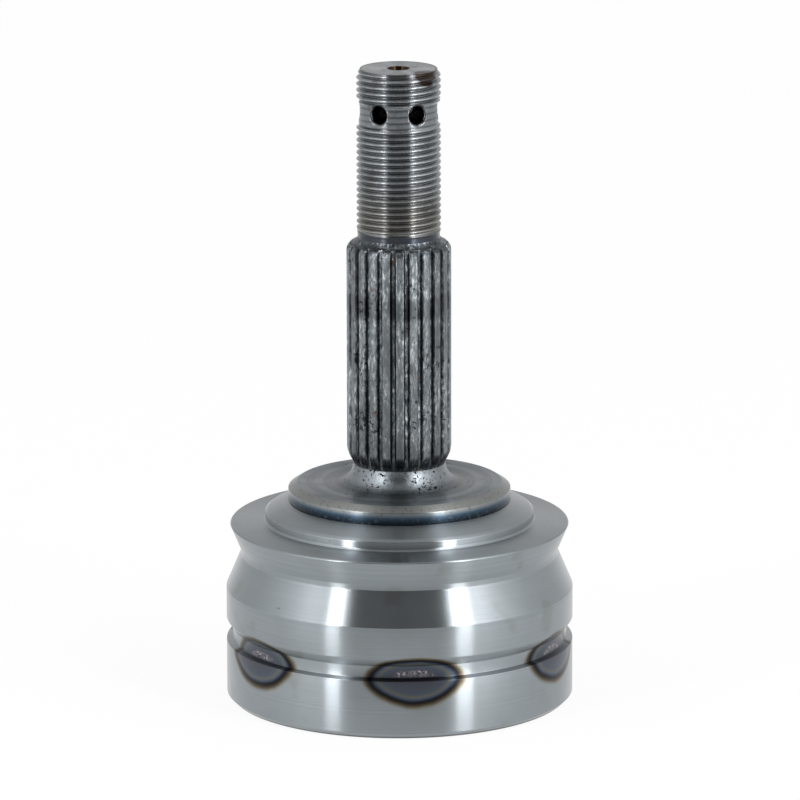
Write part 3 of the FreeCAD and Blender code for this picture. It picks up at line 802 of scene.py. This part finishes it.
# Painted shade: a dark line in the foot of the boot groove, strongest in the heart of each mark.
limits = {0: lens, 1: 0.55, 2: 1.0, 3: 0.45, 4: 0.0}
groove_shade_share = add(tree, "MapRange", limits, **SMOOTH)
corner = window(tree, height, GROOVE_FOOT * MM, FLOOR_START * MM, 0.2 * MM)
line = add(tree, "Math", {0: corner, 1: groove_shade_share}, operation="MULTIPLY")
tone = wash(tree, tone, "1b1c20", line, 0.0, 1.0)
print("heat marks: %d stops" % len(TEMPER))

# %% [markdown]
# In the heart of each mark, scale has burnt to pale crumbs on the groove's floor. The finish ends
# with the faint relief of the turning lines.

# %% Scale in the groove, and the bell's finish
FLOOR_END = GROOVE_FLOOR_HIGH - 0.6
grain = add(tree, "TexNoise", {"Vector": place, "Scale": per_mm(0.7), "Detail": 1.0})
groove_floor = window(tree, height, FLOOR_START * MM, FLOOR_END * MM, 0.3 * MM)
limits = {0: lens, 1: 0.12, 2: 0.34, 3: 1.0, 4: 0.0}
heart = add(tree, "MapRange", limits, **SMOOTH)
scale = add(tree, "Math", {0: groove_floor, 1: heart}, operation="MULTIPLY")
crumbs = window(tree, grain, 0.46, 0.54, 0.03)
scale = add(tree, "Math", {0: scale, 1: crumbs}, operation="MULTIPLY")
tone = wash(tree, tone, "c9bdc1", scale, 0.0, 1.0, 0.9)

tree.links.new(tone, shader.inputs["Base Color"])
bump = {"Height": lines, "Distance": 0.002 * MM, "Strength": 0.5}
tree.links.new(add(tree, "Bump", bump), shader.inputs["Normal"])
dress(bell, material)

# %% [markdown]
# ## The tinted flange
# The axle's root is hardened too, and the heat ran into the flange. Its rim goes from black
# through blue to a straw-grey chamfer, by height.

# %% Tones of the rim
RIM = [
    (BELL_TOP, "1b2229"),
    (JOURNAL_TOP - 2.1, "27323d"),
    (JOURNAL_TOP - 1.3, "3d4e5e"),
    (JOURNAL_TOP - 0.8, "66727c"),
    (JOURNAL_TOP - 0.45, "7f8486"),
    (JOURNAL_TOP + 0.2, "898b89"),
    (HUB_FACE, "858785"),
]
material, tree, shader, place = turned_metal("medium_carbon_steel_heat_tinted", anisotropy=0.85)
shader.inputs["Roughness"].default_value = 0.34
radius, height = radius_and_height(tree, place)
limits = {0: height, 1: BELL_TOP * MM, 2: HUB_FACE * MM, 3: 0.0, 4: 1.0}
rim_tone = add(tree, "ValToRGB", {0: add(tree, "MapRange", limits)})
span = HUB_FACE - BELL_TOP
set_stops(rim_tone, [((at - BELL_TOP) / span, colour(tint)) for at, tint in RIM])
print("rim: %d stops" % len(RIM))

# %% [markdown]
# The hub face is a dull grey-blue with the traces of a facing tool. It is darker in a ring round
# the foot of the hollow, and the hollow itself is a little brighter. Radii are in millimetres.

# %% Tones of the hub face
# A darker ring round the foot of the hollow lies between these radii.
DARK_RING_INNER = 12.2
DARK_RING_OUTER = 19.0
DARK_RING_EDGE = 2.2
BRIGHT_FULL = 11.6
BRIGHT_END = 13.2
speckled = {"Vector": place, "Scale": per_mm(0.9), "Detail": 5.0, "Roughness": 0.7}
grain = add(tree, "TexNoise", speckled)
clouds = add(tree, "TexNoise", {"Vector": place, "Scale": per_mm(7), "Detail": 4.0})
lines = rings(tree, radius, height, 0.5)
face_edge = (JOURNAL_RADIUS - CHAMFER_WIDTH) * MM
layers = {0: grain, FIRST_COLOUR: colour("636a70"), SECOND_COLOUR: colour("868d92")}
face = add(tree, "Mix", layers, MIXED_COLOUR, data_type="RGBA")
face = wash(tree, face, "82898e", lines, 0.35, 0.7, 0.4)
scratches = rings(tree, radius, height, 1.3)
face = wash(tree, face, "4d5358", scratches, 0.5, 0.68, 0.6)
face = wash(tree, face, "565c60", clouds, 0.45, 0.65, 0.6)
# A darker ring round the foot of the hollow.
dark_ring = window(tree, radius, DARK_RING_INNER * MM, DARK_RING_OUTER * MM, DARK_RING_EDGE * MM)
face = wash(tree, face, "4a4f53", dark_ring, 0.0, 1.0, 0.5)
face = wash(tree, face, "969ca0", radius, BRIGHT_END * MM, BRIGHT_FULL * MM, 0.55)
limits = {0: radius, 1: face_edge, 2: face_edge - 0.2 * MM, 3: 0.0, 4: 1.0}
on_face = add(tree, "MapRange", limits, **SMOOTH)
layers = {0: on_face, FIRST_COLOUR: rim_tone, SECOND_COLOUR: face}
tone = add(tree, "Mix", layers, MIXED_COLOUR, data_type="RGBA")
tone = wash(tree, tone, "565c61", grain, 0.52, 0.66, 0.6)
print("hub face: inside radius %.1f mm" % (face_edge / MM))

# %% [markdown]
# Rust and black pits come last. The pits are few on the face and crowd together towards the neck,
# where the surface is rough as well.

# %% Rust and pits, and the flange's finish
CROWD_FULL = 12.5
CROWD_END = 18.5
ROUGH_FULL = 13.0
ROUGH_END = 18.0
rust = add(tree, "TexNoise", {"Vector": place, "Scale": per_mm(1.6), "Detail": 5.0})
tone = wash(tree, tone, "4a3830", rust, 0.67, 0.74, 0.6)
large = pits(tree, place, 1.4, 0.95, 0.98)
small = pits(tree, place, 0.9, 0.94, 0.98)
dense = pits(tree, place, 0.8, 0.86, 0.91)
limits = {0: radius, 1: CROWD_END * MM, 2: CROWD_FULL * MM, 3: 0.0, 4: 0.9}
dense = add(tree, "Math", {0: dense, 1: add(tree, "MapRange", limits)}, operation="MULTIPLY")
dots = add(tree, "Math", {0: large, 1: small}, operation="MAXIMUM")
dots = add(tree, "Math", {0: dots, 1: dense}, operation="MAXIMUM")
dots = add(tree, "Math", {0: dots, 1: on_face}, operation="MULTIPLY")
tone = wash(tree, tone, "0d0e0f", dots, 0.0, 0.8)
tree.links.new(tone, shader.inputs["Base Color"])

fine = add(tree, "Bump", {"Height": lines, "Distance": 0.006 * MM, "Strength": 0.6})
limits = {0: radius, 1: ROUGH_END * MM, 2: ROUGH_FULL * MM, 3: 0.0, 4: 1.0}
near_neck = add(tree, "MapRange", limits, **SMOOTH)
rough = add(tree, "Math", {0: grain, 1: near_neck}, operation="MULTIPLY")
bump = {"Height": rough, "Distance": 0.12 * MM, "Strength": 0.7, "Normal": fine}
tree.links.new(add(tree, "Bump", bump), shader.inputs["Normal"])
dress(flange, material)

# %% [markdown]
# ## Scaled spline
# The spline was hardened after it was hobbed, and its scaled skin is streaked from black to
# bright. The streaks run up the teeth, so their noise is stretched along the axis.

# %% Streaks on the spline
STRETCH = (1, 1, 0.3)
STREAKS = [(0.32, "1c2024"), (0.46, "50565b"), (0.56, "8b9195"), (0.66, "dde1e3")]
material, tree, shader = new_material("medium_carbon_steel_hardened_with_scale")
shader.inputs["Metallic"].default_value = 1.0
place = add(tree, "TexCoord", {}, "Object")
radius, height = radius_and_height(tree, place)
long = add(tree, "Mapping", {"Vector": place, "Scale": STRETCH})
fine = {"Vector": long, "Scale": per_mm(0.6), "Detail": 6.0, "Roughness": 0.75}
streaks = add(tree, "TexNoise", fine)
coarse = {"Vector": long, "Scale": per_mm(4), "Detail": 6.0, "Roughness": 0.7}
clouds = add(tree, "TexNoise", coarse)
tone = add(tree, "ValToRGB", {0: streaks})
set_stops(tone, [(at, colour(tint)) for at, tint in STREAKS])
print("spline: %d stops" % len(STREAKS))

# %% [markdown]
# Black scale clings to the foot of the teeth and to a band above their middle, and painted shade
# darkens the corners of the gaps. Handling has rubbed the tips bright. Height places the bands,
# and radius separates tips from gaps.

# %% Scale, rust and pits, and the spline's finish
FOOT_SCALE_END = 68.0
FOOT_SCALE_FULL = 60.0
SCALE_BAND_LOW = 91.5
SCALE_BAND_HIGH = 101.5
SCALE_BAND_EDGE = 3.5
# Painted shade in the corners of the gaps lies between these radii, in millimetres.
GAP_SHADE_LOW = ROOT_RADIUS + 0.08
GAP_SHADE_HIGH = ROOT_RADIUS + 0.6
GAP_SHADE_EDGE = 0.12
TIP_DEPTH = 0.2
patches = add(tree, "TexNoise", {"Vector": long, "Scale": per_mm(11), "Detail": 3.0})
tone = wash(tree, tone, "2f3337", clouds, 0.44, 0.6, 0.75)
tone = wash(tree, tone, "3a3f43", patches, 0.48, 0.62, 0.5)
tone = wash(tree, tone, "b2b7ba", patches, 0.44, 0.32, 0.35)
tone = wash(tree, tone, "2c2f33", height, FOOT_SCALE_END * MM, FOOT_SCALE_FULL * MM, 0.6)
band = window(tree, height, SCALE_BAND_LOW * MM, SCALE_BAND_HIGH * MM, SCALE_BAND_EDGE * MM)
scale = add(tree, "Math", {0: band, 1: clouds}, operation="MULTIPLY")
tone = wash(tree, tone, "25282c", scale, 0.25, 0.55, 0.85)
# Painted shade in the corners of the gaps between the teeth.
corner = window(tree, radius, GAP_SHADE_LOW * MM, GAP_SHADE_HIGH * MM, GAP_SHADE_EDGE * MM)
tone = wash(tree, tone, "24272b", corner, 0.0, 1.0, 0.6)
tip = (SPLINE_RADIUS - TIP_DEPTH) * MM
tone = wash(tree, tone, "a3a9ac", radius, tip, SPLINE_RADIUS * MM, 0.2)
rust = add(tree, "TexNoise", {"Vector": place, "Scale": per_mm(3), "Detail": 5.0})
tone = wash(tree, tone, "5e4538", rust, 0.67, 0.74, 0.7)
dots = pits(tree, place, 0.9, 0.9, 0.94)
tone = wash(tree, tone, "121314", dots, 0.0, 1.0, 0.8)
tree.links.new(tone, shader.inputs["Base Color"])

limits = {0: streaks, 1: 0.35, 2: 0.65, 3: 0.45, 4: 0.3}
tree.links.new(add(tree, "MapRange", limits), shader.inputs["Roughness"])
bump = {"Height": streaks, "Distance": 0.08 * MM, "Strength": 0.9}
tree.links.new(add(tree, "Bump", bump), shader.inputs["Normal"])
dress(spline, material)

# %% [markdown]
# ## Threaded end
# The crests of the thread are bright where a nut has rubbed them, and painted shade darkens the
# roots. The lowest turns have gone straw-brown, and the runout below them navy blue.

# %% Tones of the thread
# Painted shade darkens the roots of the thread between these radii, in millimetres.
ROOT_SHADE_INNER = 8.5
ROOT_SHADE_OUTER = THREAD_ROOT + 0.45
ROOT_SHADE_EDGE = 0.25
STRAW_END = 130.0
STRAW_FULL = 114.0
NAVY_END = 114.2
NAVY_FULL = 113.3
material, tree, shader, place = turned_metal("medium_carbon_steel_rolled_thread", anisotropy=0.92)
radius, height = radius_and_height(tree, place)
cloudy = {"Vector": place, "Scale": per_mm(5), "Detail": 4.0, "Roughness": 0.6}
clouds = add(tree, "TexNoise", cloudy)
fine = add(tree, "TexNoise", {"Vector": place, "Scale": per_mm(0.8), "Detail": 3.0})
layers = {0: fine, FIRST_COLOUR: colour("7f8487"), SECOND_COLOUR: colour("a8acaf")}
tone = add(tree, "Mix", layers, MIXED_COLOUR, data_type="RGBA")
# Painted shade in the roots of the thread.
root_shade = window(tree, radius, ROOT_SHADE_INNER * MM, ROOT_SHADE_OUTER * MM, ROOT_SHADE_EDGE * MM)
tone = wash(tree, tone, "303236", root_shade, 0.0, 1.0, 0.7)
tone = wash(tree, tone, "6f675a", height, STRAW_END * MM, STRAW_FULL * MM, 0.45)
tone = wash(tree, tone, "262d38", height, NAVY_END * MM, NAVY_FULL * MM, 0.85)
tone = wash(tree, tone, "4c4b4a", clouds, 0.5, 0.7, 0.6)
print("thread: roots dark up to radius %.2f mm" % ROOT_SHADE_OUTER)

# %% [markdown]
# The end has rusted in clouds, the centre drilling all over, and the end face is chipped and brown
# at one side. The chip is a ragged ball about a place on the end's edge.

# %% Rust on the axle's end
END_RUST_LOW = 146.0
END_RUST_HIGH = 200.0
END_RUST_EDGE = 4.0
DRILL_RUST = 3.1
DRILL_RUST_EDGE = 0.5
CHIP_TURN = 41
CHIP_PLACE = 9.4
CHIP_SOLID = 4.2
CHIP_END = 5.2
CHIP_RAGGED = 3.0
near_end = window(tree, height, END_RUST_LOW * MM, END_RUST_HIGH * MM, END_RUST_EDGE * MM)
rust = add(tree, "TexNoise", {"Vector": place, "Scale": per_mm(2.5), "Detail": 5.0})
rust = add(tree, "Math", {0: rust, 1: near_end}, operation="MULTIPLY")
tone = wash(tree, tone, "5a4636", rust, 0.6, 0.7, 0.5)
drilled = add(tree, "Math", {0: DRILL_RUST * MM, 1: radius}, operation="SUBTRACT")
tone = wash(tree, tone, "33261b", drilled, 0.0, DRILL_RUST_EDGE * MM)
chip = look_from(CHIP_TURN, CHIP_PLACE * MM, AXLE_TOP * MM)
reach = add(tree, "VectorMath", {0: place, 1: chip}, "Value", operation="DISTANCE")
edge = {0: clouds, 1: CHIP_RAGGED * MM, 2: reach}
ragged = add(tree, "Math", edge, operation="MULTIPLY_ADD")
tone = wash(tree, tone, "332822", ragged, CHIP_END * MM, CHIP_SOLID * MM, 0.9)
print("chip at", tuple(round(value / MM, 1) for value in chip), "mm")

# %% [markdown]
# The walls of the cotter holes are black with painted shade: in the relief band, whatever lies deeper
# than the band's own surface belongs to a hole.

# %% Cotter holes, and the thread's finish
HOLES_LOW = 139.2
HOLES_HIGH = 145.9
HOLES_EDGE = 0.2
HOLE_WALL = 9.02
HOLE_WALL_EDGE = 0.1
holes = window(tree, height, HOLES_LOW * MM, HOLES_HIGH * MM, HOLES_EDGE * MM)
# Painted shade: the walls of the holes are painted nearly black.
hole_shade = add(tree, "Math", {0: HOLE_WALL * MM, 1: radius}, operation="SUBTRACT")
hole_shade = add(tree, "Math", {0: hole_shade, 1: holes}, operation="MULTIPLY")
tone = wash(tree, tone, "070707", hole_shade, 0.0, HOLE_WALL_EDGE * MM)
tree.links.new(tone, shader.inputs["Base Color"])

limits = {0: clouds, 1: 0.3, 2: 0.7, 3: 0.26, 4: 0.36}
tree.links.new(add(tree, "MapRange", limits), shader.inputs["Roughness"])
bump = {"Height": fine, "Distance": 0.01 * MM, "Strength": 0.5}
tree.links.new(add(tree, "Bump", bump), shader.inputs["Normal"])
dress(thread, material)

# %% [markdown]
# ## Inner pieces
# Seen from the mouth: balls of bearing steel, lapped until they mirror; a ground inner race; a
# cage blackened with phosphate so that oil clings to it; and a spring-steel circlip. The CAD
# solids stay, and only their finish changes. Each row holds two close tones, the grain, the lowest
# and highest roughness, and the grain's depth; grain and depth are in millimetres.

# %% Inner finishes
FINISHES = {
    "chrome_steel_lapped": ("b9bec2", "aeb3b7", 0.8, 0.07, 0.1, 0.0002),
    "case_hardened_steel_ground": ("9aa0a4", "868c90", 0.7, 0.24, 0.34, 0.003),
    "alloy_steel_phosphated": ("3a3c3e", "2a2c2d", 0.6, 0.42, 0.55, 0.01),
    "spring_steel_oiled": ("6c7074", "585c60", 0.6, 0.28, 0.36, 0.003),
}


def plain_metal(name):
    """A metal of two close tones, with a fine grain of a real size and depth."""
    first, second, grain_mm, smooth, rough, depth_mm = FINISHES[name]
    material, tree, shader = new_material(name)
    shader.inputs["Metallic"].default_value = 1.0
    place = add(tree, "TexCoord", {}, "Object")
    grain = add(tree, "TexNoise", {"Vector": place, "Scale": per_mm(grain_mm), "Detail": 3.0})
    clouds = add(tree, "TexNoise", {"Vector": place, "Scale": per_mm(grain_mm * PATCH_GRAINS)})
    both = add(tree, "Math", {0: grain, 1: clouds}, operation="ADD")
    tone = wash(tree, colour(first), second, both, 0.8, 1.2)
    tree.links.new(tone, shader.inputs["Base Color"])
    limits = {0: grain, 1: 0.35, 2: 0.65, 3: smooth, 4: rough}
    tree.links.new(add(tree, "MapRange", limits), shader.inputs["Roughness"])
    bump = {"Height": grain, "Distance": depth_mm * MM}
    tree.links.new(add(tree, "Bump", bump), shader.inputs["Normal"])
    return material


ball_steel = plain_metal("chrome_steel_lapped")
for number in range(1, TRACK_COUNT + 1):
    dress(frame["nodes"]["ball_%d" % number], ball_steel)
dress(frame["nodes"]["inner_race"], plain_metal("case_hardened_steel_ground"))
dress(frame["nodes"]["ball_cage"], plain_metal("alloy_steel_phosphated"))
dress(frame["nodes"]["retaining_circlip"], plain_metal("spring_steel_oiled"))

# %% [markdown]
# ## Studio
# The joint stands on a white sweep in a bright room that is dark on the camera's side. Two tall
# soft strip lamps at the sides are what make a round steel wall look round. The floor is white
# to the camera and to reflections, and keeps a faint shadow. Its underside is clear, so that the
# mouth can be looked at from below, and it lies a hair under the mouth's face.

# %% White floor
FLOOR_SIZE = 8
FLOOR_DROP = 0.05 * MM
FLOOR_GLOW = 0.92
floor_mesh = bmesh.new()
bmesh.ops.create_grid(floor_mesh, x_segments=1, y_segments=1, size=FLOOR_SIZE)
bmesh.ops.translate(floor_mesh, vec=(0, 0, -FLOOR_DROP), verts=floor_mesh.verts)
floor = finish_piece("floor", floor_mesh)
material, tree, shader = new_material("white_sweep")
shader.inputs["Base Color"].default_value = colour("ececec")
shader.inputs["Roughness"].default_value = 0.9
path = add(tree, "LightPath", {}).node.outputs
seen = add(tree, "Math", {0: path["Is Camera Ray"], 1: path["Is Glossy Ray"]}, operation="MAXIMUM")
seen = add(tree, "Math", {0: seen, 1: path["Is Transmission Ray"]}, operation="MAXIMUM")
share = add(tree, "Math", {0: seen, 1: FLOOR_GLOW}, operation="MULTIPLY")
white = add(tree, "Emission", {"Color": (1, 1, 1, 1), "Strength": 1.0})
upper = add(tree, "MixShader", {0: share, 1: shader.outputs["BSDF"], 2: white})
underside = add(tree, "NewGeometry", {}, output="Backfacing")
clear = add(tree, "BsdfTransparent", {})
mixed = add(tree, "MixShader", {0: underside, 1: upper, 2: clear})
tree.links.new(mixed, tree.nodes["Material Output"].inputs["Surface"])
dress(floor, material)

# %% [markdown]
# The room's brightness goes by the bearing of a direction, in degrees from the camera's side, as
# a table: dark in front, brightest just beyond the lamps, middling behind.

# %% Levels of the room
CAMERA_TURN = -5.0
ROOM = [
    (-180, 0.66),
    (-150, 0.66),
    (-130, 0.72),
    (-112, 0.86),
    (-100, 1.05),
    (-88, 1.32),
    (-77, 1.7),
    (-67, 2.3),
    (-58, 2.25),
    (-48, 1.55),
    (-39, 0.12),
    (0, 0.07),
    (35, 0.12),
    (48, 3.2),
    (58, 3.4),
    (68, 2.45),
    (78, 1.8),
    (88, 1.38),
    (100, 1.02),
    (114, 0.9),
    (130, 0.78),
    (155, 0.7),
]
BRIGHTEST = max(level for _, level in ROOM)
print("room: %d bearings, brightest %.1f" % (len(ROOM), BRIGHTEST))

# %% [markdown]
# The world finds the bearing of each direction and looks it up in the table. High up, the levels
# give way to one level for the ceiling. The camera itself sees plain white.

# %% The room as a world
CEILING = 0.8
CEILING_START = 0.75
CEILING_FULL = 0.97
world = bpy.data.worlds.new("studio")
bpy.context.scene.world = world
world.use_nodes = True
sky = world.node_tree
direction = add(sky, "TexCoord", {}, "Generated")
ahead = look_from(CAMERA_TURN, 1.0, 0.0)
aside = look_from(CAMERA_TURN + 90, 1.0, 0.0)
front = add(sky, "VectorMath", {0: direction, 1: ahead}, "Value", operation="DOT_PRODUCT")
side = add(sky, "VectorMath", {0: direction, 1: aside}, "Value", operation="DOT_PRODUCT")
bearing = add(sky, "Math", {0: side, 1: front}, operation="ARCTAN2")
turn = add(sky, "Math", {0: bearing, 1: 1 / math.tau, 2: 0.5}, operation="MULTIPLY_ADD")
room = add(sky, "ValToRGB", {0: turn})
set_stops(room, [(at / 360 + 0.5, (*[level / BRIGHTEST] * 3, 1)) for at, level in ROOM])
level = add(sky, "Math", {0: room, 1: BRIGHTEST}, operation="MULTIPLY")
up = add(sky, "SeparateXYZ", {0: direction}, "Z")
limits = {0: up, 1: CEILING_START, 2: CEILING_FULL, 3: 0.0, 4: 1.0}
overhead = add(sky, "MapRange", limits, **SMOOTH)
level = add(sky, "Mix", {0: overhead, 2: level, 3: CEILING}, data_type="FLOAT")
path = add(sky, "LightPath", {}).node.outputs
level = add(sky, "Math", {0: level, 1: path["Is Camera Ray"]}, operation="MAXIMUM")
background = sky.nodes["Background"]
background.inputs["Color"].default_value = (1, 1, 1, 1)
sky.links.new(level, background.inputs["Strength"])
print("world:", world.name)

# %% [markdown]
# Both lamps are upright strips. Width sets how broad a strip shows on the bell, and power over
# area sets how bright.

# %% Strip lamps
LAMP_DISTANCE = 0.9
LAMP_HEIGHT = 0.5
LAMP_LENGTH = 1.0


def strip_lamp(name, turn, width, power):
    """A tall flat lamp that faces the axis; the turn is counted from the camera's direction."""
    data = bpy.data.lights.new(name, "AREA")
    data.shape = "RECTANGLE"
    data.size = width
    data.size_y = LAMP_LENGTH
    data.energy = power
    lamp = bpy.data.objects.new(name, data)
    lamp.location = look_from(CAMERA_TURN + turn, LAMP_DISTANCE, LAMP_HEIGHT)
    aim = Vector((0, 0, LAMP_HEIGHT)) - lamp.location
    lamp.rotation_euler = aim.to_track_quat("-Z", "Y").to_euler()
    bpy.context.scene.collection.objects.link(lamp)
    print("lamp:", name)


strip_lamp("left_strip", turn=-43.8, width=0.145, power=3.8)
strip_lamp("right_strip", turn=42.3, width=0.17, power=5)

# %% [markdown]
# The camera stands a little above the joint and to its left, with a long lens, so the axle's
# sides stay nearly parallel. A touch of roll sets the axle upright in the frame.

# %% Camera
CAMERA_DISTANCE = 1.65
CAMERA_HEIGHT = 0.465
CAMERA_ROLL = -0.12
CAMERA_LENS = 320.9
AIM = Vector((0.2, 0, 72.1)) * MM

camera_data = bpy.data.cameras.new("camera")
camera_data.lens = CAMERA_LENS
camera_data.sensor_width = 36
camera_data.clip_end = 20
camera = bpy.data.objects.new("camera", camera_data)
camera.location = look_from(CAMERA_TURN, CAMERA_DISTANCE, CAMERA_HEIGHT)
facing = (AIM - camera.location).to_track_quat("-Z", "Y").to_matrix().to_4x4()
roll = Matrix.Rotation(math.radians(CAMERA_ROLL), 4, "Z")
camera.rotation_euler = (facing @ roll).to_euler()
bpy.context.scene.collection.objects.link(camera)
bpy.context.scene.camera = camera
bpy.context.scene.view_settings.view_transform = "Standard"
print("camera: %.0f mm lens" % camera_data.lens)

# %% Hand over
bpy.context.view_layer.update()
